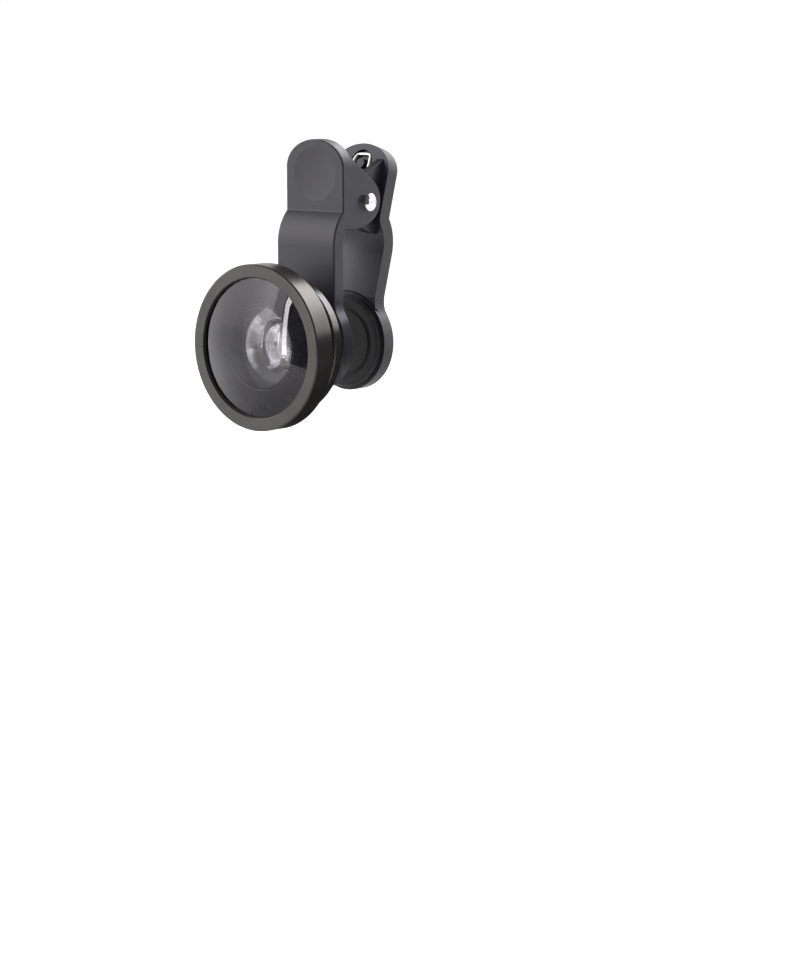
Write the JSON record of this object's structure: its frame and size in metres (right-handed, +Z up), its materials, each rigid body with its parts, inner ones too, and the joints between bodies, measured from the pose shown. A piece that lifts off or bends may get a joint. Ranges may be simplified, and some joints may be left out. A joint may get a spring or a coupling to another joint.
{
  "type": "clip-on wide-angle lens",
  "caption": "Sprung clip with padded jaws that clamps over the edge of a phone and holds a screw-in wide-angle lens with a large domed front glass over its camera.",
  "frame": {"origin": "on the lens axis, in the plane where the front pad touches the device's back", "axes": "+Y along the lens axis through the device, away from the subject side; the lens looks along -Y. +Z up to the grips. +X to the right as seen from in front of the lens's subject side."},
  "size_m": [0.0348, 0.0395, 0.0599],
  "materials": {
    "clip_plastic": "fine matte grain",
    "pad_rubber": "soft matte",
    "pin_steel": "polished",
    "spring_wire": "bright drawn wire",
    "black_anodised": "satin black anodised",
    "inner_black": "matte black",
    "lens_glass": "coated optical glass"
  },
  "bodies": {
    "front_clip": {"front_jaw": "clip_plastic", "front_pad": "pad_rubber", "hinge_pin": "pin_steel", "pin_cap": "pin_steel", "torsion_spring": "spring_wire"},
    "rear_clip": {"rear_jaw": "clip_plastic", "rear_pad": "pad_rubber"},
    "lens_carriage": {"aperture_stop": "inner_black"},
    "lens": {"front_bezel": "black_anodised", "front_gasket": "pad_rubber", "front_element": "lens_glass", "front_barrel": "black_anodised", "ridged_baffle": "inner_black", "middle_element": "lens_glass", "rear_mount": "black_anodised", "rear_spacer": "inner_black", "rear_doublet_front": "lens_glass", "rear_doublet_back": "lens_glass", "rear_retaining_ring": "inner_black"}
  },
  "joints": [
    {"name": "jaw_hinge", "type": "hinge", "parent": "front_clip", "child": "rear_clip", "pos_m": [0, 0.0066, 0.0292], "axis": [1, 0, 0], "range_deg": [-10.9, 25], "stiffness_Nm_per_rad": 0.12, "springref_deg": -57.3, "deforming": ["torsion_spring"]},
    {"name": "lens_travel", "type": "slide", "parent": "front_clip", "child": "lens_carriage", "axis": [0, -1, 0], "range_m": [0, 0.0026]},
    {"name": "lens_turn", "type": "hinge", "parent": "lens_carriage", "child": "lens", "pos_m": [0, 0, 0], "axis": [0, -1, 0], "range_deg": [0, 1240]}
  ],
  "couplings": [
    {"joint": "lens_travel", "follows": "lens_turn", "m_per_rad": 0.00011937}
  ]
}
